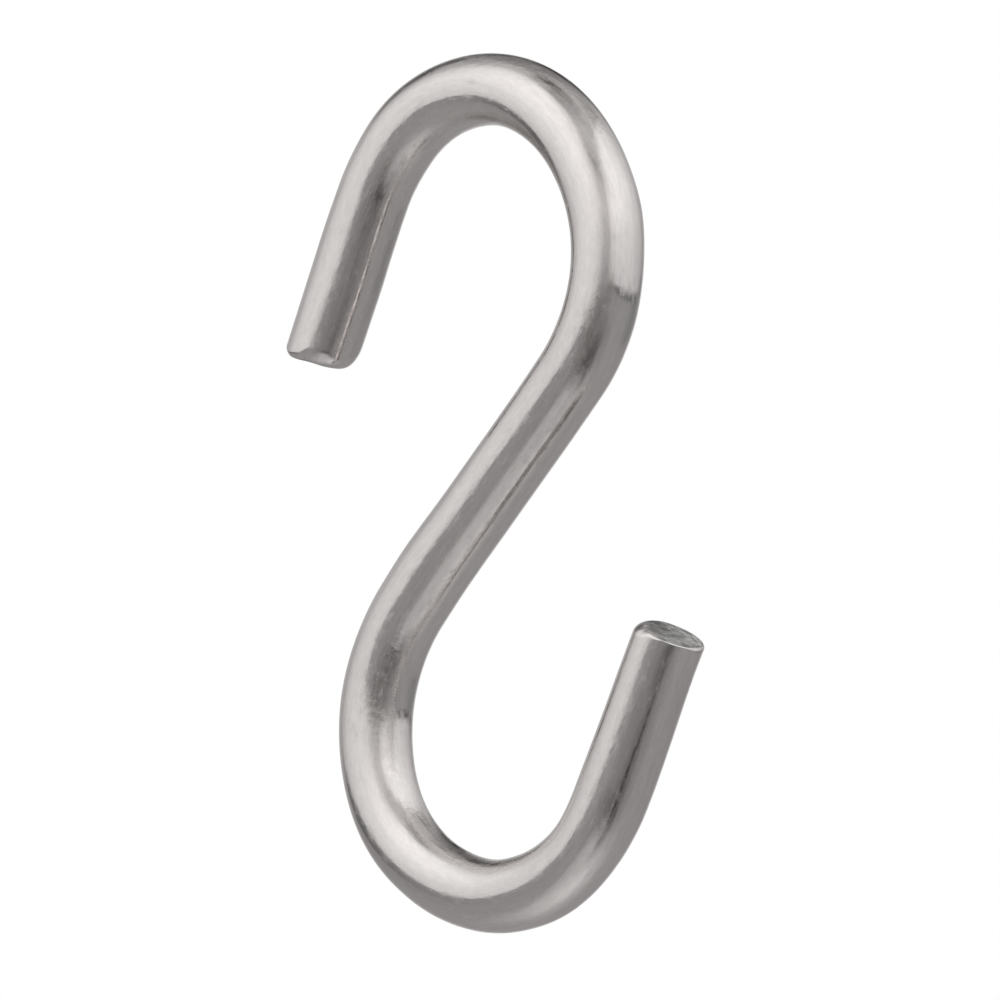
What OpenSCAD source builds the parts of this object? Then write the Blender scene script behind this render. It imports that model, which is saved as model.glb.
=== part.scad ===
// S hook: one length of round steel wire, bent cold into two open hooks that face opposite ways.
// It stands in the XZ plane as it hangs, +Z up. The origin is the seat of the upper hook: the
// highest point on the inside of its bend, where the hook rests on a rail or ring. All sizes in mm.

/* [Wire] */
// Diameter of the round wire
wire_d = 6.35; // [4:0.05:9]

/* [Overall] */
// Overall length, over the outsides of both bends
overall_length = 76.2; // [69:0.1:120]

/* [Upper hook] */
// Inside radius of the upper bend
upper_inside_r = 11.6; // [8:0.05:14]
// Straight length of the upper leg, from the end of its bend to the middle of its cut face
upper_leg = 15.55; // [6:0.05:20]
// Angle by which the upper leg opens outwards from the vertical
upper_splay = 27.7; // [5:0.1:45]
// Angle by which the upper end is cut off square, shorter on the inside of the hook
upper_cut_angle = 7; // [0:0.5:12]
// Radius of the tumbled edge around the upper cut face
upper_edge_r = 1; // [0.2:0.05:1.5]

/* [Lower hook] */
// Inside radius of the lower bend
lower_inside_r = 11.75; // [8:0.05:14]
// Straight length of the lower leg, from the end of its bend to the middle of its cut face
lower_leg = 15.65; // [6:0.05:20]
// Angle by which the lower leg opens outwards from the vertical
lower_splay = 29.4; // [5:0.1:45]
// Angle by which the lower end is cut off square, shorter on the inside of the hook
lower_cut_angle = 1; // [0:0.5:12]
// Radius of the tumbled edge around the lower cut face
lower_edge_r = 0.6; // [0.2:0.05:1.5]

/* [Hidden] */
$fn = 96;

steel = [0.71, 0.70, 0.68];

wire_r = wire_d / 2;

// Worked wire, in the bends and at the cut ends, comes out a hair thinner than the straight runs.
// Each straight run laps over the worked wire beside it.
thinning = 0.01;
worked_r = wire_r - thinning;
lap = 0.05;

// Radii of the wire's centreline in the two bends, and the distance between the bends' centres.
// The thinning counts, so that the overall length is true.
upper_r = upper_inside_r + worked_r;
lower_r = lower_inside_r + worked_r;
centre_gap = overall_length - 2 * worked_r - upper_r - lower_r;

// The shank is the tangent that crosses from one side of the upper bend to the other side of the
// lower one. This is its angle from the vertical, and its length between the two tangent points.
shank_lean = asin((upper_r + lower_r) / centre_gap);
shank_length = centre_gap * cos(shank_lean);

// Facets round a cut end, and round the section of its tumbled edge
end_facets = 64;
edge_facets = 24;

// In the modules below the hook lies flat in the XY plane, with the inside of the hook on the
// left of the wire as it runs from the shank to a free end.

// Straight round wire along +Y, lapping over what it joins at both ends
module straight(length)
    translate([0, -lap, 0])
        rotate([-90, 0, 0]) cylinder(r = wire_r, h = length + 2 * lap);

// Round wire bent about the origin, turning left from angle "from" to angle "to"
module bend(centre_r, from, to)
    rotate(from)
        rotate_extrude(angle = to - from)
            translate([centre_r, 0]) circle(r = worked_r);

// How far the shaped end of a leg reaches back from the middle of its face
function end_depth(cut_angle, edge_r) = edge_r + wire_r * sin(cut_angle);

// Sheared end, from the origin along +Y: a face that leans off square towards the inside of the
// hook, with a tumbled edge blended into the wire
module cut_end(cut_angle, edge_r)
    hull() {
        rotate([-90, 0, 0]) cylinder(r = worked_r, h = lap, $fn = end_facets);
        translate([0, end_depth(cut_angle, edge_r) - edge_r / cos(cut_angle), 0])
            rotate([-90, 0, cut_angle])
                rotate_extrude($fn = end_facets)
                    translate([worked_r - edge_r, 0]) circle(r = edge_r, $fn = edge_facets);
    }

// Free leg along +Y from the end of its bend, with its cut end
module leg(length, cut_angle, edge_r) {
    straight_length = length - end_depth(cut_angle, edge_r);
    straight(straight_length);
    translate([0, straight_length, 0]) cut_end(cut_angle, edge_r);
}

// One open hook about the centre of its bend, from the shank round to the free end
module open_hook(centre_r, leg_length, splay, cut_angle, edge_r) {
    bend(centre_r, -shank_lean, 180 - splay);
    rotate(180 - splay)
        translate([centre_r, 0, 0]) leg(leg_length, cut_angle, edge_r);
}

// The straight part between the two bends, placed from the centre of the upper one
module shank()
    rotate(-shank_lean)
        translate([upper_r, -shank_length, 0]) straight(shank_length);

// The whole hook, stood up with its upper seat at the origin
module hook()
    color(steel)
        translate([0, 0, -upper_inside_r])
            rotate([90, 0, 0]) {
                open_hook(upper_r, upper_leg, upper_splay, upper_cut_angle, upper_edge_r);
                shank();
                translate([0, -centre_gap, 0])
                    rotate(180)
                        open_hook(lower_r, lower_leg, lower_splay, lower_cut_angle, lower_edge_r);
            }

hook();
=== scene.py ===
"""S hook of bent stainless wire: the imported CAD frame, the finely modelled wire, its steel, the studio."""

import math

import bpy
import numpy as np
from mathutils import Matrix


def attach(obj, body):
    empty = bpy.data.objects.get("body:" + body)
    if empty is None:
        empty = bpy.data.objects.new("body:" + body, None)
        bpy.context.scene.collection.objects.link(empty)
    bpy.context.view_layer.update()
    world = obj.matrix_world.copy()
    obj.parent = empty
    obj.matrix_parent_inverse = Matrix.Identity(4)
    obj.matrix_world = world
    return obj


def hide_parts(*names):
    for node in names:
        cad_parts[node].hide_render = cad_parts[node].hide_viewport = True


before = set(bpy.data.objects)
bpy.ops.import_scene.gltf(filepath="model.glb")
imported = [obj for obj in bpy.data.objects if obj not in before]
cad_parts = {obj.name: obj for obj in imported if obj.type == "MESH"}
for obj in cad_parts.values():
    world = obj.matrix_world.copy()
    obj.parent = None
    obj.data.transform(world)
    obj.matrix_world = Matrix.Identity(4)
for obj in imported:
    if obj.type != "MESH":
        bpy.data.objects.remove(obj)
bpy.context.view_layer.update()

MM = 0.001

# ------------------------------------------------------------ the wire's line, in mm, as in the CAD source
WIRE_R = 3.164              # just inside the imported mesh, so the wire stays in its box
BEND_WIRE_R = 3.165         # the CAD's is 3.175, and a little less keeps the bends in its box too
OVERALL_LENGTH = 76.2
UPPER = {"inside_r": 11.6, "leg": 15.55, "splay": 27.7}
LOWER = {"inside_r": 11.75, "leg": 15.65, "splay": 29.4}

# How the bent wire strays from that line: (along the wire, half length, how far), all in mm
SIDE_KINKS = ((12, 3, -0.06), (19, 3, 0.1), (25, 4, -0.05), (35, 3, -0.04), (47, 6, 0.07),
              (52.5, 2.5, -0.07), (64, 3, 0.03), (72, 6, -0.08), (90, 5, 0.16), (98, 6, -0.2),
              (114, 5, 0.22), (125, 5, -0.12), (132, 2.5, -0.06), (144, 3, -0.08), (158, 4, -0.08))
# How much wider than round it is across the hook, likewise
SIDE_SWELLS = ((8, 6, 0.11), (22, 4, 0.1), (35, 4, -0.05), (52, 2, 0.05), (57, 2.5, -0.06),
               (63, 5, 0.07), (91, 5, 0.1), (104, 5, 0.09), (120, 2, -0.04), (134, 4, 0.06),
               (141, 3, -0.1), (147, 5, 0.13), (159, 4, -0.1))

# The two cut ends. cut is how far the face is off square, and leans_to is the side where it is lowest, both
# in degrees. dome is how far its middle stands out, in mm.
# Each row of edge is (degrees round the wire, the rolled edge's length along the wire in mm, its depth into
# the wire in mm, how many degrees it rolls over before the face cuts it off).
# Each row of lumps is (front, side, half width, height) on the face, in mm.
UPPER_END = {"cut": 7.0, "leans_to": 90.0, "dome": 0.10,
             "edge": ((-136, 0.9, 0.7, 90), (-90, 1.3, 1.1, 90), (-46, 0.75, 0.5, 55), (-20, 0.6, 0.4, 45),
                      (2, 0.8, 0.42, 42), (20, 1.4, 0.5, 42), (45, 1.6, 0.62, 46), (80, 1.2, 0.7, 70),
                      (134, 2.3, 1.2, 90)),
             "lumps": ((2.6, 1.2, 1.2, -0.12), (-1.4, 2.6, 1.0, 0.06), (-0.8, -0.6, 1.1, -0.05),
                       (0.2, -1.6, 0.7, 0.04))}
LOWER_END = {"cut": 1.6, "leans_to": 150.0, "dome": 0.12,
             "edge": ((-90, 0.9, 0.9, 70), (-46, 1.1, 0.75, 45), (-15, 1.0, 0.6, 38), (15, 0.3, 0.2, 50),
                      (35, 0.13, 0.13, 80), (70, 0.13, 0.13, 90), (95, 0.4, 0.4, 90), (134, 0.4, 0.35, 90),
                      (180, 0.45, 0.45, 90)),
             "lumps": ((0.9, 0.8, 0.8, -0.05), (-0.6, 1.2, 0.6, 0.05), (-1.0, -2.6, 1.2, 0.08),
                       (0.4, -0.9, 0.6, -0.05), (-0.2, 0.2, 0.5, 0.04))}
END_LENGTH = 4.0            # how far back an end is meshed ring by ring, in mm

# ------------------------------------------------------------ marks on the wire, and dark reflections painted as marks
# Each is (along in mm, round in degrees, half length in mm, half width in degrees, strength, lean in degrees
# a mm). Round is 0 at the front and 90 on the +X side of the legs.
# The skin is rough where it is rubbed, and only duller where it is dulled. Fine lines run along it where it
# is scored, and it is dark where it is smudged. Some smudges are painted dark reflections instead: they
# paint the dark cores of the bends' reflections and the hook's own dark reflection lines onto the steel.
RUBBED = ((38, -68, 10, 20, 0.8, -2.3), (37, -82, 0.5, 16, 1, 0), (42.5, -58, 3, 9, 0.8, -1.2),
          (62.5, -38, 4.5, 17, 0.35, 0), (101, -44, 6, 18, 0.6, 0), (117.5, -72, 4, 18, 0.5, 1),
          (145.5, 38, 2.6, 12, 0.4, 0))
DULLED = ((20, 60, 3, 10, 1, -1.5), (30, 52, 8, 12, 1, -0.8), (40, 42, 7, 9, 1, -0.5),
          (96, -66, 6, 8, 0.9, 0), (107, -68, 6, 8, 1, 0), (128, -60, 10, 10, 1, 2.5))
SCORED = ((124, -72, 13, 22, 1, 1.8), (40, -80, 6, 16, 0.7, -1.5), (97, -40, 8, 18, 0.5, 0),
          (12, 42, 12, 16, 0.7, 0), (72, -35, 12, 20, 0.25, 0), (150, 35, 10, 16, 0.3, 0))
# The rows at 34, 37, 39.5 and 41 mm paint dark reflections along the upper bend's rims.
UPPER_SMUDGES_AND_PAINTED_REFLECTIONS = ((14, 65, 5, 6, 0.3, 0), (12.5, 47, 3, 5, 0.5, 0), (17.3, 48, 2.3, 8, 0.5, 0),
                 (19.6, 40, 1.6, 7, 0.45, 0), (37, 55, 5, 10, 0.7, 0), (41, 45, 5, 9, 0.9, -2.5),
                 (33.8, -10, 0.45, 6, 0.35, 0), (29, -50, 2.8, 6, 1.1, -3.2), (34, -75, 2.8, 7, 2.4, -3.5),
                 (39.5, -92, 3.3, 5.5, 2.4, -3.1), (41, -60, 2, 6, 1.5, -1.4),
                 (38.2, -62, 3.5, 6, 0.3, -1.8), (44.6, -79, 1.4, 12, 0.3, 0), (48.3, -46, 1.3, 4, 0.6, -1))
# The rows at 70 and 86 mm paint the hook's own dark reflection line along the shank.
SHANK_SMUDGES_AND_PAINTED_REFLECTIONS = ((59, -51, 1.5, 4, 0.5, 0), (62.5, -40, 3.2, 14, 0.45, 0), (70, -68, 4, 2.5, 0.9, 0),
                 (86, -67, 18, 2.5, 0.5, 0), (101.5, -45, 3.6, 15, 0.5, 0), (106, -4, 0.4, 6, 0.3, 0))
# The rows from 121.5 to 128 mm paint the dark cores of the lower bend's reflections.
LOWER_SMUDGES_AND_PAINTED_REFLECTIONS = ((117, -84, 1.5, 12, 0.5, 0), (121.5, -93, 2, 6, 1.1, 3), (123.5, -76, 1.5, 5, 0.8, 0),
                 (128, -64, 5, 5.5, 2.2, 3.1), (146, 36, 1.5, 10, 0.5, 0), (150, 49.5, 7, 2, 1.8, 0),
                 (161.5, -75, 0.9, 35, 1, 0))
MARKS = {"rubbed": RUBBED, "dulled": DULLED, "scored": SCORED,
         "smudge_and_painted_reflection": UPPER_SMUDGES_AND_PAINTED_REFLECTIONS + SHANK_SMUDGES_AND_PAINTED_REFLECTIONS + LOWER_SMUDGES_AND_PAINTED_REFLECTIONS}

# ------------------------------------------------------------ how finely the wire is meshed
AROUND = 144                # vertices round the wire
STEP = 0.3                  # distance between two rings, in mm
WALL_RINGS = 20             # rings along an end's straight wall
EDGE_RINGS = 14             # rings over an end's rounded edge
FACE_RINGS = 26             # rings across a cut face
CUT_FROM = 0.75             # the part of the rounded edge where the look of the cut face begins

# ------------------------------------------------------------ the camera, solved from the outline, in metres
CAMERA_AT = (0.690752, -0.718163, -0.115864)
CAMERA_RIGHT = (0.7189, 0.6943, -0.0331)
CAMERA_DOWN = (-0.0817, 0.0372, -0.9960)
CAMERA_AHEAD = (-0.6903, 0.7187, 0.0834)
CAMERA_LENS = 417.2         # mm
CAMERA_CLIP = (0.05, 20.0)
SENSOR = 36.0               # mm

STUDIO_AT = (0.0, 0.0, -0.0318)     # what the lights are set round: the middle of the hook


def unit(vector):
    vector = np.asarray(vector, float)
    return vector / np.linalg.norm(vector)


# ============================================================ the wire's centreline
def turned(vector, degrees):
    """A vector of the XZ plane, turned from +X towards +Z."""
    cos, sin = math.cos(math.radians(degrees)), math.sin(math.radians(degrees))
    x, z = vector
    return np.array([x * cos - z * sin, x * sin + z * cos])


def polar(centre, radius, degrees):
    return centre + radius * turned((1.0, 0.0), degrees)


def straight(start, end):
    """(point, direction) pairs from start up to just before end."""
    length = np.linalg.norm(end - start)
    direction = (end - start) / length
    steps = max(2, round(length / STEP))
    return [(start + direction * length * k / steps, direction) for k in range(steps)]


def arc(centre, radius, start, end):
    """(point, direction) pairs round centre, from the angle start up to just before end."""
    steps = max(2, round(abs(math.radians(end - start)) * radius / STEP))
    sign = 1.0 if end > start else -1.0
    angles = [start + (end - start) * k / steps for k in range(steps)]
    return [(polar(centre, radius, angle), sign * turned((0.0, 1.0), angle)) for angle in angles]


def in_space(flat):
    """Rows of (x, z) as rows of (x, 0, z)."""
    return np.c_[flat[:, 0], np.zeros(len(flat)), flat[:, 1]]


def wire_line():
    """Points and directions of the centreline, in mm, from the upper tip to the lower one."""
    upper_r = UPPER["inside_r"] + BEND_WIRE_R
    lower_r = LOWER["inside_r"] + BEND_WIRE_R
    gap = OVERALL_LENGTH - 2 * BEND_WIRE_R - upper_r - lower_r
    lean = math.degrees(math.asin((upper_r + lower_r) / gap))
    upper_centre = np.array([0.0, -UPPER["inside_r"]])
    lower_centre = upper_centre - [0.0, gap]
    upper_start = 180.0 - UPPER["splay"]
    lower_end = 360.0 - LOWER["splay"]

    upper_leg = polar(upper_centre, upper_r, upper_start)
    upper_tip = upper_leg + UPPER["leg"] * turned((0.0, 1.0), upper_start)
    lower_leg = polar(lower_centre, lower_r, lower_end)
    lower_out = turned((0.0, 1.0), lower_end)
    lower_tip = lower_leg + LOWER["leg"] * lower_out
    shank = (polar(upper_centre, upper_r, -lean), polar(lower_centre, lower_r, 180.0 - lean))

    parts = straight(upper_tip, upper_leg)
    parts += arc(upper_centre, upper_r, upper_start, -lean)
    parts += straight(*shank)
    parts += arc(lower_centre, lower_r, 180.0 - lean, lower_end)
    parts += straight(lower_leg, lower_tip)
    parts.append((lower_tip, lower_out))
    points, dirs = (np.array(column) for column in zip(*parts))
    return in_space(points), in_space(dirs)


def bumps(rows, along):
    """Sum of smooth bumps along the wire, in mm."""
    total = np.zeros(np.shape(along))
    for at, half_length, height in rows:
        total += height * np.exp(-((along - at) / half_length) ** 2)
    return total


def round_the_wire(rows, column, turn):
    """A column of rows that start with their degrees round the wire, eased from row to row round it."""
    rows = sorted(rows)
    turns = [row[0] for row in rows]
    values = [row[column] for row in rows]
    turns = [turns[-1] - 360.0] + turns + [turns[0] + 360.0]
    values = np.array([values[-1]] + values + [values[0]], float)
    place = np.interp(turn, turns, np.arange(len(turns)))
    low = np.minimum(place.astype(int), len(turns) - 2)
    part = place - low
    return values[low] + (values[low + 1] - values[low]) * part * part * (3.0 - 2.0 * part)


def marked(patches, along, around):
    """How strongly the patches mark each place of the wire, which is the strongest of them there."""
    total = np.zeros(len(along))
    for at, turn, half_length, half_width, strength, lean in patches:
        off = (around - turn - lean * (along - at) + 180.0) % 360.0 - 180.0
        away = ((along - at) / half_length) ** 2 + (off / half_width) ** 2
        total = np.maximum(total, strength * np.exp(-away ** 1.5))
    return total


# ============================================================ the wire's surface
def face_height(end, rho, phi):
    """How far a cut face stands beyond the tip's middle, rho from its middle and phi round it."""
    slope = math.tan(math.radians(end["cut"]))
    height = -slope * rho * np.cos(phi - math.radians(end["leans_to"]))
    height = height + end["dome"] * (1.0 - (rho / WIRE_R) ** 2)
    for at_front, at_side, half_width, rise in end["lumps"]:
        away = (rho * np.cos(phi) - at_front) ** 2 + (rho * np.sin(phi) - at_side) ** 2
        height = height + rise * np.exp(-away / half_width ** 2)
    return height


def end_rows(end, phi):
    """Rings of one end as (beyond the tip's middle, radius, cut), from the wire out to the face's middle."""
    turn = np.degrees(phi)
    length = round_the_wire(end["edge"], 1, turn)
    depth = round_the_wire(end["edge"], 2, turn)
    roll = np.radians(round_the_wire(end["edge"], 3, turn))
    rim = WIRE_R - depth
    foot = face_height(end, rim, phi) - length

    made = []
    for k in range(WALL_RINGS):
        t = k / WALL_RINGS
        made.append((-END_LENGTH * (1.0 - t) + foot * t, np.full(AROUND, WIRE_R), 0.0))
    for k in range(EDGE_RINGS + 1):
        t = k / EDGE_RINGS
        beyond = foot + length * np.sin(roll * t) / np.sin(roll)
        inwards = depth * (1.0 - np.cos(roll * t)) / (1.0 - np.cos(roll))
        made.append((beyond, WIRE_R - inwards, max(0.0, (t - CUT_FROM) / (1.0 - CUT_FROM))))
    for k in range(1, FACE_RINGS):
        rho = rim * (1.0 - k / FACE_RINGS)
        made.append((face_height(end, rho, phi), rho, 1.0))
    return made


def straight_wire(line):
    """The wire before it is bent: its rings, and each vertex's place along, radius, turn and cut."""
    phi = np.linspace(-math.pi, math.pi, AROUND, endpoint=False)
    total = line[-1]
    upper_mid, lower_mid = (float(face_height(end, 0.0, 0.0)) for end in (UPPER_END, LOWER_END))

    rings = [(-beyond, rho, cut) for beyond, rho, cut in reversed(end_rows(UPPER_END, phi))]
    clear = END_LENGTH + 0.5 * STEP
    for at in line[(line > clear) & (line < total - clear)]:
        rings.append((np.full(AROUND, at), np.full(AROUND, WIRE_R), 0.0))
    rings += [(total + beyond, rho, cut) for beyond, rho, cut in end_rows(LOWER_END, phi)]

    along = np.concatenate([[-upper_mid]] + [ring[0] for ring in rings] + [[total + lower_mid]])
    rho = np.concatenate([[0.0]] + [ring[1] for ring in rings] + [[0.0]])
    turn = np.concatenate([[0.0]] + [phi] * len(rings) + [[0.0]])
    cut = np.concatenate([[1.0]] + [np.full(AROUND, ring[2]) for ring in rings] + [[1.0]])
    return len(rings), along, rho, turn, cut


def bent(along, rho, turn, line, points, dirs):
    """Vertices of the bent wire, in mm."""
    front = np.array([0.0, -1.0, 0.0])
    middle = np.column_stack([np.interp(along, line, points[:, k]) for k in range(3)])
    heading = np.column_stack([np.interp(along, line, dirs[:, k]) for k in range(3)])
    heading /= np.linalg.norm(heading, axis=1)[:, None]
    side = np.cross(heading, front)
    beyond = along - np.clip(along, 0.0, line[-1])
    radius = rho * (1.0 + bumps(SIDE_SWELLS, along) * np.sin(turn) ** 2 / WIRE_R)
    aside = bumps(SIDE_KINKS, along) + radius * np.sin(turn)
    forward = radius * np.cos(turn)
    return middle + beyond[:, None] * heading + aside[:, None] * side + forward[:, None] * front


def wire_faces(rings):
    """Quads between the rings, and a fan of triangles round the middle of each cut face."""
    faces = []
    starts = [1 + k * AROUND for k in range(rings)]
    last = 1 + rings * AROUND
    for j in range(AROUND):
        after = (j + 1) % AROUND
        faces.append((0, starts[0] + j, starts[0] + after))
        faces.append((last, starts[-1] + after, starts[-1] + j))
    for ring, following in zip(starts, starts[1:]):
        for j in range(AROUND):
            after = (j + 1) % AROUND
            faces.append((ring + j, following + j, following + after, ring + after))
    return faces


def add_attribute(mesh, name, values):
    attribute = mesh.attributes.new(name, "FLOAT", "POINT")
    attribute.data.foreach_set("value", values.astype(np.float32))


def lay_uv(mesh, along, around, total):
    """A map with u round the wire and v along it, and u past 1 where a face crosses the seam."""
    corners = np.empty(len(mesh.loops), np.int32)
    mesh.loops.foreach_get("vertex_index", corners)
    starts = np.empty(len(mesh.polygons), np.int32)
    mesh.polygons.foreach_get("loop_start", starts)
    counts = np.empty(len(mesh.polygons), np.int32)
    mesh.polygons.foreach_get("loop_total", counts)
    u = (around / 360.0 + 0.5)[corners]
    v = (along / total)[corners]
    highest = np.repeat(np.maximum.reduceat(u, starts), counts)
    u = np.where(highest - u > 0.5, u + 1.0, u)
    uv = mesh.uv_layers.new(name="WireUV")
    uv.data.foreach_set("uv", np.c_[u, v].astype(np.float32).ravel())


def build_wire():
    """The hook as one closed mesh. Each vertex keeps its place on the unbent wire, in mm."""
    points, dirs = wire_line()
    line = np.r_[0.0, np.cumsum(np.linalg.norm(np.diff(points, axis=0), axis=1))]
    rings, along, rho, turn, cut = straight_wire(line)
    verts = bent(along, rho, turn, line, points, dirs)

    mesh = bpy.data.meshes.new("hook_wire")
    mesh.from_pydata((verts * MM).tolist(), [], wire_faces(rings))
    mesh.validate()
    mesh.update()
    unbent = np.column_stack([along, rho * np.cos(turn), rho * np.sin(turn)])
    place = mesh.attributes.new("unbent", "FLOAT_VECTOR", "POINT")
    place.data.foreach_set("vector", unbent.astype(np.float32).ravel())
    add_attribute(mesh, "cut", cut)
    around = np.degrees(np.arctan2(unbent[:, 2], unbent[:, 1]))
    for name, patches in MARKS.items():
        add_attribute(mesh, name, marked(patches, along, around))
    lay_uv(mesh, along, around, line[-1])
    mesh.polygons.foreach_set("use_smooth", np.ones(len(mesh.polygons), bool))
    obj = bpy.data.objects.new("hook_wire", mesh)
    bpy.context.scene.collection.objects.link(obj)
    return obj


# ============================================================ node helpers
class Nodes:
    """Makes shader nodes in one tree, with plain numbers or sockets as inputs."""

    def __init__(self, tree):
        self.tree = tree
        tree.nodes.clear()

    def new(self, kind, **props):
        node = self.tree.nodes.new(kind)
        for key, value in props.items():
            setattr(node, key, value)
        return node

    def feed(self, socket, value):
        if isinstance(value, bpy.types.NodeSocket):
            self.tree.links.new(value, socket)
        else:
            socket.default_value = value

    def math(self, operation, a, b=0.0):
        node = self.new("ShaderNodeMath", operation=operation)
        self.feed(node.inputs[0], a)
        self.feed(node.inputs[1], b)
        return node.outputs[0]

    def product(self, *values):
        result = values[0]
        for value in values[1:]:
            result = self.math("MULTIPLY", result, value)
        return result

    def total(self, *values):
        result = values[0]
        for value in values[1:]:
            result = self.math("ADD", result, value)
        return result

    def vector(self, operation, a, b):
        node = self.new("ShaderNodeVectorMath", operation=operation)
        self.feed(node.inputs[0], a)
        self.feed(node.inputs[1], b)
        return node.outputs["Value" if operation == "DOT_PRODUCT" else "Vector"]

    def smooth(self, value, start, end, low=0.0, high=1.0):
        """Smooth step from low at start to high at end."""
        node = self.new("ShaderNodeMapRange", interpolation_type="SMOOTHSTEP")
        names = ("Value", "From Min", "From Max", "To Min", "To Max")
        for name, given in zip(names, (value, start, end, low, high)):
            self.feed(node.inputs[name], given)
        return node.outputs[0]

    def soft_edge(self, value, edge, softness, sign=1.0):
        """1 above the edge, or below it where sign is -1, and 0 on its other side."""
        low, high = edge - softness / 2, edge + softness / 2
        if sign > 0:
            return self.smooth(value, low, high, 0.0, 1.0)
        return self.smooth(value, low, high, 1.0, 0.0)

    def patch(self, across, up, centre, half, power):
        """exp(-(x/half)^power ...) round centre. Where half of a direction is None, it doesn't count."""
        terms = []
        for value, middle, width in zip((across, up), centre, half):
            if width is not None:
                off = self.math("DIVIDE", self.math("SUBTRACT", value, middle), width)
                terms.append(self.math("POWER", self.math("ABSOLUTE", off), power))
        return self.math("EXPONENT", self.math("MULTIPLY", self.total(*terms), -1.0))

    def mix(self, factor, a, b):
        """Number a where factor is 0 and b where it is 1."""
        node = self.new("ShaderNodeMix", data_type="FLOAT")
        self.feed(node.inputs[0], factor)
        self.feed(node.inputs[2], a)
        self.feed(node.inputs[3], b)
        return node.outputs[0]

    def blend(self, factor, a, b):
        """Colour a where factor is 0 and b where it is 1."""
        node = self.new("ShaderNodeMix", data_type="RGBA")
        self.feed(node.inputs["Factor"], factor)
        for socket, value in ((node.inputs[6], a), (node.inputs[7], b)):
            self.feed(socket, (*value, 1.0) if isinstance(value, tuple) else value)
        return node.outputs[2]

    def noise(self, vector, scale, detail, roughness):
        node = self.new("ShaderNodeTexNoise", noise_dimensions="3D")
        self.feed(node.inputs["Vector"], vector)
        self.feed(node.inputs["Scale"], scale)
        self.feed(node.inputs["Detail"], detail)
        self.feed(node.inputs["Roughness"], roughness)
        return node.outputs["Fac"]


# ============================================================ the studio
# Its directions are the camera's, in degrees: azimuth 0 is towards the camera and + to its right, and height
# is from its level. Levels are radiances. The camera itself sees the world as plain white.
# The tent's own level, as rows of (height, level)
LEVEL_BY_HEIGHT = ((-85, 0.15), (-65, 0.34), (-45, 0.36), (-28, 0.34), (-12, 0.3),
                   (5, 0.46), (25, 0.8), (45, 0.39), (65, 0.6), (85, 0.4))
TENT_COLOUR = (1.014, 1.0, 0.998, 1.0)
# The strip between the diffusers, with the heights between which it fades in, fades out and brightens
STRIP = {"azimuth": -46, "half": 82, "low_level": 0.52, "high_level": 0.68,
         "fades_in": (-20, 0), "fades_out": (55, 75), "brightens": (-5, 30)}
# Patches of the tent, as (azimuth, height)
UNDER_CAMERA = {"centre": (1, -27), "half": (42, 25), "level": 0.26}
CAMERA_STAND = {"centre": (-1, -44.5), "half": (19, 14.5), "level": 0.12}
# The azimuths of the next three are from straight behind
BACK_WALL = {"centre": (-1, 40), "half": (29, 25.5), "level": 0.24}
BACK_GAP = {"centre": (9, 25), "half": (34, 10), "level": 0.05}
BRIGHT_BEHIND = {"centre": (-12, -6.5), "half": (12, 11), "level": 0.75}
# The lit backdrop: its edges are tangents of the angles from straight behind, each with a softness
BACKDROP = {"left": (-0.39, 0.6), "right": (0.1, 0.03), "bottom": (-0.4, 0.4), "top": (0.45, 0.5),
            "level": 0.56}
ROUND_PATCH, SQUARE_PATCH = 2.0, 4.0    # powers of a patch that fades slowly and of one with a flat middle
STUDIO_AXES = (CAMERA_RIGHT, tuple(-x for x in CAMERA_DOWN), tuple(-x for x in CAMERA_AHEAD))

# A diffuser stands upright, distance metres off in the direction azimuth. Its edges, in units of distance,
# are left, right, low and high, each with a softness. Its level goes from low_level to high_level round
# middle, and tilts by tilt across. Its low edge has a dark rail, rail deep, and under that is its dark foot,
# foot high, which goes from foot_near to foot_far away from the camera, halfway at foot_from.
LEFT_DIFFUSER = {"azimuth": -72, "distance": 0.39,
                 "left": (-1.85, 0.12), "right": (0.7, 2.65), "low": (-0.18, 0.08), "high": (2.95, 2.85),
                 "low_level": 0.88, "high_level": 1.3, "middle": 0.32, "tilt": 0.31,
                 "foot": 0.25, "foot_near": 0.35, "foot_far": 0.16, "foot_from": -0.54, "foot_soft": 0.1,
                 "rail": 0.02, "rail_level": 0.08}
RIGHT_DIFFUSER = {"azimuth": 73, "distance": 0.585,
                  "left": (-1.2, 2.95), "right": (2.4, 3.9), "low": (-0.165, 0.07), "high": (1.9, 0.9),
                  "low_level": 0.74, "high_level": 1.14, "middle": 0.3, "tilt": -0.25,
                  "foot": 0.49, "foot_near": 0.35, "foot_far": 0.26, "foot_from": 0.6, "foot_soft": 0.05,
                  "rail": 0.065, "rail_level": 0.15}
# What is alike in both, in the same units
CLOTH_BLEND = 0.6           # half the height over which the cloth's level changes
FOOT_BLEND = 0.5            # half the width over which the foot darkens
FOOT_SOFTNESS = 0.06        # of the foot's lower edge
RAIL_SOFTNESS = 0.04        # of the rail's lower edge
FOOT_OVERLAP = 0.02         # how far the foot reaches up behind the cloth
RAIL_OVERLAP = 0.1          # how far the rail does
MARGIN = 0.05               # of the panel below the foot's edge

# The lit sheet lies depth metres under the hook. Its edges and its panel's corners are in units of depth.
SHEET = {"depth": 0.167, "left": (-0.59, 0.4), "right": (0.01, 0.42),
         "front": (1.05, 0.55), "back": (-0.23, 0.7), "turn": 1, "level": 0.52,
         "spot": (0.05, 0.2), "spot_size": 0.25, "spot_level": 0.74,
         "corners": ((-1.0, -1.3), (1.0, 1.0))}

FLOOR = {"z": -0.30, "half": 4.0, "grey": 0.86, "roughness": 0.9}
OVERHEAD = {"z": 1.6, "size": 1.2, "watts": 30.0}


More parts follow.
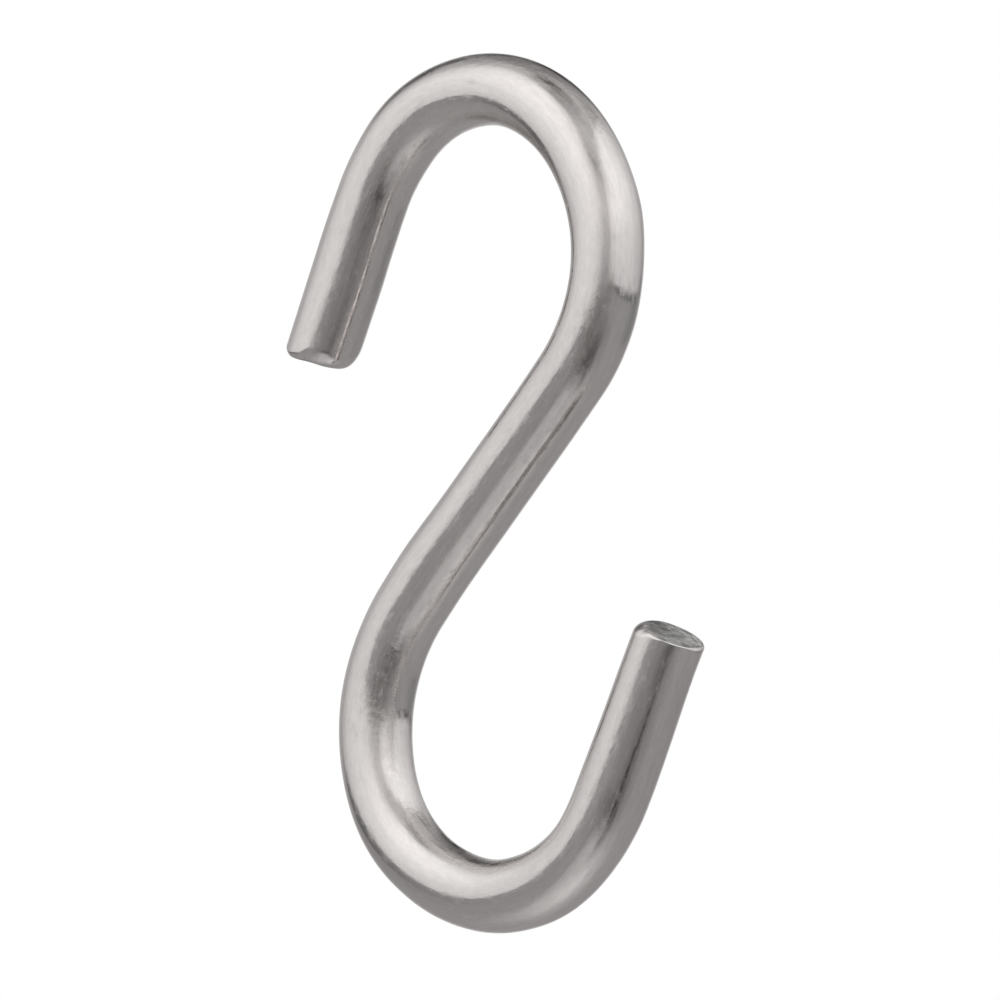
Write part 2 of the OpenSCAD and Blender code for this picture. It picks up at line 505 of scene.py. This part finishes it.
def studio_matrix(right, up, out, place):
    """Matrix of an object whose x, y, z axes and place are given along the studio's right, up and near."""
    axes = np.array(STUDIO_AXES)
    turn = np.column_stack([unit(np.asarray(v, float) @ axes) for v in (right, up, out)])
    at = np.array(STUDIO_AT) + np.asarray(place, float) @ axes
    return Matrix.Translation(at.tolist()) @ Matrix(turn.tolist()).to_4x4()


def tent_level(n, right, up, near):
    """Radiance of the tent in the direction (right, up, near)."""
    degrees = 180.0 / math.pi
    height = n.math("MULTIPLY", n.math("ARCSINE", up), degrees)
    azimuth = n.math("MULTIPLY", n.math("ARCTAN2", right, near), degrees)
    left, away = n.math("MULTIPLY", right, -1.0), n.math("MULTIPLY", near, -1.0)
    from_behind = n.math("MULTIPLY", n.math("ARCTAN2", left, away), degrees)

    # The tent from below to above
    level = LEVEL_BY_HEIGHT[0][1]
    for (low, low_level), (high, high_level) in zip(LEVEL_BY_HEIGHT, LEVEL_BY_HEIGHT[1:]):
        level = n.total(level, n.smooth(height, low, high, 0.0, high_level - low_level))
    # The strip between the diffusers
    strip = n.patch(azimuth, height, (STRIP["azimuth"], 0.0), (STRIP["half"], None), ROUND_PATCH)
    strip = n.product(strip, n.smooth(height, *STRIP["fades_in"]),
                      n.smooth(height, *STRIP["fades_out"], 1.0, 0.0))
    strip_level = n.smooth(height, *STRIP["brightens"], STRIP["low_level"], STRIP["high_level"])
    level = n.mix(strip, level, strip_level)
    # The darker parts
    darker = ((azimuth, UNDER_CAMERA), (azimuth, CAMERA_STAND), (from_behind, BACK_WALL),
              (from_behind, BACK_GAP))
    for across, plan in darker:
        dark = n.patch(across, height, plan["centre"], plan["half"], SQUARE_PATCH)
        level = n.mix(dark, level, plan["level"])
    # The lit backdrop, and its brightest part
    depth = n.math("MAXIMUM", away, 0.001)      # never 0
    u, v = n.math("DIVIDE", right, depth), n.math("DIVIDE", up, depth)
    cover = n.product(n.soft_edge(u, *BACKDROP["left"]), n.soft_edge(u, *BACKDROP["right"], sign=-1.0),
                      n.soft_edge(v, *BACKDROP["bottom"]), n.soft_edge(v, *BACKDROP["top"], sign=-1.0),
                      n.math("GREATER_THAN", away, 0.0))
    level = n.mix(cover, level, BACKDROP["level"])
    bright = n.patch(from_behind, height, BRIGHT_BEHIND["centre"], BRIGHT_BEHIND["half"], ROUND_PATCH)
    return n.mix(bright, level, BRIGHT_BEHIND["level"])


def build_world():
    """The tent that the steel mirrors, which the camera itself sees as plain white."""
    world = bpy.data.worlds.new("studio")
    bpy.context.scene.world = world
    world.use_nodes = True
    world.cycles.sampling_method = "NONE"
    n = Nodes(world.node_tree)
    direction = n.new("ShaderNodeTexCoord").outputs["Generated"]
    level = tent_level(n, *(n.vector("DOT_PRODUCT", direction, axis) for axis in STUDIO_AXES))

    light = n.new("ShaderNodeBackground")
    light.inputs["Color"].default_value = TENT_COLOUR
    n.feed(light.inputs["Strength"], level)
    white = n.new("ShaderNodeBackground")
    white.inputs["Color"].default_value = (1.0, 1.0, 1.0, 1.0)
    white.inputs["Strength"].default_value = 1.0
    pick = n.new("ShaderNodeMixShader")
    n.feed(pick.inputs[0], n.new("ShaderNodeLightPath").outputs["Is Camera Ray"])
    n.feed(pick.inputs[1], light.outputs[0])
    n.feed(pick.inputs[2], white.outputs[0])
    out = n.new("ShaderNodeOutputWorld")
    n.feed(out.inputs["Surface"], pick.outputs[0])


def glowing(name, layers):
    """Material that is clear where no layer is, and glows at each layer's level where it is.

    layers(n, x, y) gives (cover, level) pairs from the lowest layer to the top one; x and y are the object's
    own, in metres.
    """
    mat = bpy.data.materials.new(name)
    mat.use_nodes = True
    mat.cycles.emission_sampling = "NONE"
    n = Nodes(mat.node_tree)
    split = n.new("ShaderNodeSeparateXYZ")
    n.feed(split.inputs[0], n.new("ShaderNodeTexCoord").outputs["Object"])
    shade = n.new("ShaderNodeBsdfTransparent").outputs[0]
    for cover, level in layers(n, split.outputs[0], split.outputs[1]):
        glow = n.new("ShaderNodeEmission")
        n.feed(glow.inputs["Strength"], level)
        mix = n.new("ShaderNodeMixShader")
        n.feed(mix.inputs[0], cover)
        n.feed(mix.inputs[1], shade)
        n.feed(mix.inputs[2], glow.outputs[0])
        shade = mix.outputs[0]
    out = n.new("ShaderNodeOutputMaterial")
    n.feed(out.inputs["Surface"], shade)
    return mat


def flat_mesh(name, corners, z, material):
    """A rectangle from corner to corner of its x and y."""
    (x0, y0), (x1, y1) = corners
    mesh = bpy.data.meshes.new(name)
    mesh.from_pydata([(x0, y0, z), (x1, y0, z), (x1, y1, z), (x0, y1, z)], [], [(0, 1, 2, 3)])
    mesh.materials.append(material)
    return mesh


def stage_sheet(name, corners, matrix, layers):
    """A flat panel of the studio that only reflections see."""
    obj = bpy.data.objects.new(name, flat_mesh(name, corners, 0.0, glowing(name, layers)))
    obj.matrix_world = matrix
    obj.visible_camera = False
    obj.visible_diffuse = False
    obj.visible_shadow = False
    bpy.context.scene.collection.objects.link(obj)


def build_diffuser(name, plan):
    """An upright diffuser with the dark rail and foot under it. u is across it and v up it."""
    distance = plan["distance"]
    low = plan["low"][0]

    def layers(n, x, y):
        u, v = n.math("DIVIDE", x, distance), n.math("DIVIDE", y, distance)
        sides = n.product(n.soft_edge(u, *plan["left"]), n.soft_edge(u, *plan["right"], sign=-1.0))
        foot = n.product(sides, n.soft_edge(v, low - plan["foot"], FOOT_SOFTNESS),
                         n.soft_edge(v, low + FOOT_OVERLAP, plan["foot_soft"], -1.0))
        rail = n.product(sides, n.soft_edge(v, low - plan["rail"], RAIL_SOFTNESS),
                         n.math("LESS_THAN", v, low + RAIL_OVERLAP))
        cloth = n.product(sides, n.soft_edge(v, *plan["low"]), n.soft_edge(v, *plan["high"], sign=-1.0))
        level = n.smooth(v, plan["middle"] - CLOTH_BLEND, plan["middle"] + CLOTH_BLEND,
                         plan["low_level"], plan["high_level"])
        level = n.math("MULTIPLY", level, n.math("ADD", 1.0, n.math("MULTIPLY", u, plan["tilt"])))
        sign = math.copysign(1.0, plan["azimuth"])
        halfway = sign * plan["foot_from"]
        foot_level = n.smooth(n.math("MULTIPLY", u, sign), halfway - FOOT_BLEND, halfway + FOOT_BLEND,
                              plan["foot_near"], plan["foot_far"])
        return (foot, foot_level), (rail, plan["rail_level"]), (cloth, level)

    angle = math.radians(plan["azimuth"])
    out = (math.sin(angle), 0.0, math.cos(angle))
    across = (math.cos(angle), 0.0, -math.sin(angle))
    left, right = plan["left"][0] - plan["left"][1] / 2, plan["right"][0] + plan["right"][1] / 2
    bottom, top = low - plan["foot"] - MARGIN, plan["high"][0] + plan["high"][1] / 2
    matrix = studio_matrix(across, (0.0, 1.0, 0.0), out, tuple(distance * x for x in out))
    corners = ((left * distance, bottom * distance), (right * distance, top * distance))
    stage_sheet(name, corners, matrix, layers)


def build_sheet():
    """The lit sheet under the hook, with the brighter spot right below it."""
    depth = SHEET["depth"]
    turn = math.radians(SHEET["turn"])

    def layers(n, x, y):
        right, near = n.math("DIVIDE", x, depth), n.math("DIVIDE", y, -depth)
        back = n.total(n.product(right, -math.sin(turn)), n.product(near, math.cos(turn)))
        sheet = n.product(n.soft_edge(right, *SHEET["left"]), n.soft_edge(right, *SHEET["right"], sign=-1.0),
                          n.soft_edge(near, *SHEET["front"], sign=-1.0), n.soft_edge(back, *SHEET["back"]))
        spot_half = SHEET["spot_size"] * math.sqrt(2.0)
        spot = n.patch(right, near, SHEET["spot"], (spot_half, spot_half), ROUND_PATCH)
        return (sheet, SHEET["level"]), (spot, SHEET["spot_level"])

    corners = tuple(tuple(depth * x for x in corner) for corner in SHEET["corners"])
    matrix = studio_matrix((1.0, 0.0, 0.0), (0.0, 0.0, -1.0), (0.0, 1.0, 0.0), (0.0, -depth, 0.0))
    stage_sheet("lit_sheet", corners, matrix, layers)


def build_floor():
    """The pale floor, which the steel doesn't reflect."""
    mat = bpy.data.materials.new("floor_paper")
    mat.use_nodes = True
    n = Nodes(mat.node_tree)
    shade = n.new("ShaderNodeBsdfPrincipled")
    shade.inputs["Base Color"].default_value = (FLOOR["grey"], FLOOR["grey"], FLOOR["grey"], 1.0)
    shade.inputs["Roughness"].default_value = FLOOR["roughness"]
    shade.inputs["Specular IOR Level"].default_value = 0.0
    out = n.new("ShaderNodeOutputMaterial")
    n.feed(out.inputs["Surface"], shade.outputs[0])
    half = FLOOR["half"]
    mesh = flat_mesh("floor", ((-half, -half), (half, half)), FLOOR["z"], mat)
    obj = bpy.data.objects.new("studio_floor", mesh)
    obj.visible_glossy = False
    bpy.context.scene.collection.objects.link(obj)


def build_overhead():
    """The light that brightens the floor, and that the steel doesn't mirror."""
    data = bpy.data.lights.new("overhead", "AREA")
    data.shape = "DISK"
    data.size = OVERHEAD["size"]
    data.energy = OVERHEAD["watts"]
    light = bpy.data.objects.new("overhead", data)
    light.location = (0.0, 0.0, OVERHEAD["z"])
    light.visible_glossy = False
    light.visible_camera = False
    bpy.context.scene.collection.objects.link(light)


def build_camera():
    data = bpy.data.cameras.new("camera")
    data.lens = CAMERA_LENS
    data.sensor_width = SENSOR
    data.sensor_fit = "HORIZONTAL"
    data.clip_start, data.clip_end = CAMERA_CLIP
    obj = bpy.data.objects.new("camera", data)
    bpy.context.scene.collection.objects.link(obj)
    right, down, ahead = unit(CAMERA_RIGHT), unit(CAMERA_DOWN), unit(CAMERA_AHEAD)
    turn = Matrix([[right[i], -down[i], -ahead[i]] for i in range(3)]).to_4x4()
    obj.matrix_world = Matrix.Translation(CAMERA_AT) @ turn
    bpy.context.scene.camera = obj


# ============================================================ the steel
STEEL = (0.722, 0.690, 0.678)
CUT_STEEL = (0.700, 0.700, 0.690)
GRIMY_AND_PAINTED_REFLECTION_STEEL = (0.715, 0.670, 0.640)
ANISOTROPY = 0.28

# How each grain squeezes the wire's length, so that what lies on it is drawn out lengthwise
GRAINS = {"long": (0.03, 1.0, 1.0), "mid": (0.25, 1.0, 1.0), "short": (0.45, 1.0, 1.0),
          "even": (1.0, 1.0, 1.0)}
# Noises: (grain, scale in 1/mm, octaves, strength of each next octave)
NOISES = {
    "drawn": ("long", 2.2, 2.0, 0.6),       # lines from the drawing die
    "fibres": ("mid", 4.0, 1.0, 0.6),
    "tumbled": ("short", 2.7, 1.2, 0.55),
    "waves": ("even", 0.85, 1.0, 0.5),
    "peel": ("even", 1.7, 1.6, 0.55),       # the skin where bending roughened it
    "scores": ("long", 3.4, 3.0, 0.7),
}
# Figures: the same, then the noise at which a figure begins and the noise at which it is full
FIGURES = {
    "haze": ("mid", 1.6, 2.5, 0.68, 0.36, 0.66),
    "scuffs": ("mid", 4.6, 3.0, 0.65, 0.50, 0.74),
    "mottle": ("short", 1.7, 3.0, 0.65, 0.45, 0.70),
    "blotch": ("short", 1.9, 2.5, 0.65, 0.34, 0.60),
    "strokes": ("mid", 2.6, 3.0, 0.65, 0.42, 0.60),
    "hairs": ("long", 5.0, 2.0, 0.6, 0.60, 0.68),
    "torn": ("even", 0.8, 1.8, 0.55, 0.36, 0.60),
}
# How bright the steel is, how rough, and how high its relief in mm. What is named after a mark counts only
# where that mark is.
BRIGHTNESS = {"plain": 0.862, "drawn": 0.16, "fibres": 0.14, "blotch": -0.04}
TORN_BRIGHTNESS = (0.62, 1.12)              # of a cut face, outside its torn figure and inside it
STROKES_LEAST = 0.35                        # what is left of a smudge, and of a painted dark reflection, between its strokes
GRIME_AND_PAINTED_REFLECTION = {"smudge_and_painted_reflection": 0.5, "smudge_and_painted_reflection_most": 0.66, "scored": 0.25}      # how much the smudges, the painted dark reflections and the scoring darken the steel
ROUGHNESS = {"plain": 0.072, "haze": 0.05, "scuffs": 0.14, "mottle": 0.18, "rubbed": 0.16, "dulled": 0.17,
             "cut": 0.33}
RELIEF = {"tumbled": 0.0055, "drawn": 0.006, "fibres": 0.002, "waves": 0.006}
RUBBED_RELIEF, SCORED_RELIEF, CUT_RELIEF = 0.06, 0.035, 0.02


def steel_colour(n, layer):
    """Colour of the steel, darker and browner where it is smudged and where dark reflections are painted on
    it.
    """
    strokes = n.mix(layer["strokes"], STROKES_LEAST, 1.0)
    # The smudge layer holds real smudges and painted dark reflections; both darken and brown the steel here.
    smudges_and_painted_reflections = n.product(layer["smudge_and_painted_reflection"], strokes)
    grime_and_painted_reflection = n.math("MINIMUM", n.product(smudges_and_painted_reflections, GRIME_AND_PAINTED_REFLECTION["smudge_and_painted_reflection"]), GRIME_AND_PAINTED_REFLECTION["smudge_and_painted_reflection_most"])
    grime_and_painted_reflection = n.total(grime_and_painted_reflection, n.product(layer["scored"], layer["hairs"], GRIME_AND_PAINTED_REFLECTION["scored"]))
    gain = n.total(*(n.product(layer[name], BRIGHTNESS[name]) for name in ("drawn", "fibres", "blotch")))
    gain = n.product(n.total(gain, BRIGHTNESS["plain"]), n.math("SUBTRACT", 1.0, grime_and_painted_reflection))
    gain = n.product(gain, n.mix(layer["cut"], 1.0, n.mix(layer["torn"], *TORN_BRIGHTNESS)))
    colour = n.new("ShaderNodeVectorMath", operation="SCALE")
    n.feed(colour.inputs[0], n.blend(smudges_and_painted_reflections, n.blend(layer["cut"], STEEL, CUT_STEEL), GRIMY_AND_PAINTED_REFLECTION_STEEL))
    n.feed(colour.inputs["Scale"], gain)
    return colour.outputs[0]


def steel_roughness(n, layer):
    rough = ROUGHNESS["plain"]
    for name in ("haze", "scuffs", "mottle", "dulled", "cut"):
        rough = n.total(rough, n.product(layer[name], ROUGHNESS[name]))
    return n.total(rough, n.product(layer["rubbed"], layer["blotch"], ROUGHNESS["rubbed"]))


def steel_normal(n, layer):
    height = n.total(*(n.product(layer[name], amount) for name, amount in RELIEF.items()),
                     n.product(layer["peel"], layer["rubbed"], RUBBED_RELIEF),
                     n.product(layer["scores"], layer["scored"], SCORED_RELIEF),
                     n.product(layer["tumbled"], layer["cut"], CUT_RELIEF))
    bump = n.new("ShaderNodeBump")
    bump.inputs["Strength"].default_value = 1.0
    bump.inputs["Distance"].default_value = MM
    n.feed(bump.inputs["Height"], height)
    return bump.outputs[0]


def build_steel():
    """Drawn, bent and tumbled stainless wire."""
    mat = bpy.data.materials.new("satin_stainless")
    mat.use_nodes = True
    n = Nodes(mat.node_tree)
    place = n.new("ShaderNodeAttribute", attribute_name="unbent").outputs["Vector"]
    grain = {name: n.vector("MULTIPLY", place, squeeze) for name, squeeze in GRAINS.items()}
    layer = {}
    for name in ("cut", *MARKS):
        layer[name] = n.new("ShaderNodeAttribute", attribute_name=name).outputs["Fac"]
    for name, (along, *noise) in NOISES.items():
        layer[name] = n.noise(grain[along], *noise)
    for name, (along, scale, octaves, strength, begins, full) in FIGURES.items():
        layer[name] = n.smooth(n.noise(grain[along], scale, octaves, strength), begins, full)

    shade = n.new("ShaderNodeBsdfPrincipled")
    shade.inputs["Metallic"].default_value = 1.0
    shade.inputs["Anisotropic"].default_value = ANISOTROPY
    n.feed(shade.inputs["Base Color"], steel_colour(n, layer))
    n.feed(shade.inputs["Roughness"], steel_roughness(n, layer))
    n.feed(shade.inputs["Normal"], steel_normal(n, layer))
    tangent = n.new("ShaderNodeTangent", direction_type="UV_MAP", uv_map="WireUV")
    n.feed(shade.inputs["Tangent"], tangent.outputs[0])
    out = n.new("ShaderNodeOutputMaterial")
    n.feed(out.inputs["Surface"], shade.outputs[0])
    return mat


bpy.context.scene.view_settings.view_transform = "Standard"
build_camera()
build_world()
build_diffuser("left_diffuser", LEFT_DIFFUSER)
build_diffuser("right_diffuser", RIGHT_DIFFUSER)
build_sheet()
build_floor()
build_overhead()
wire = build_wire()
wire.data.materials.append(build_steel())
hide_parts("hook")
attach(wire, "root")
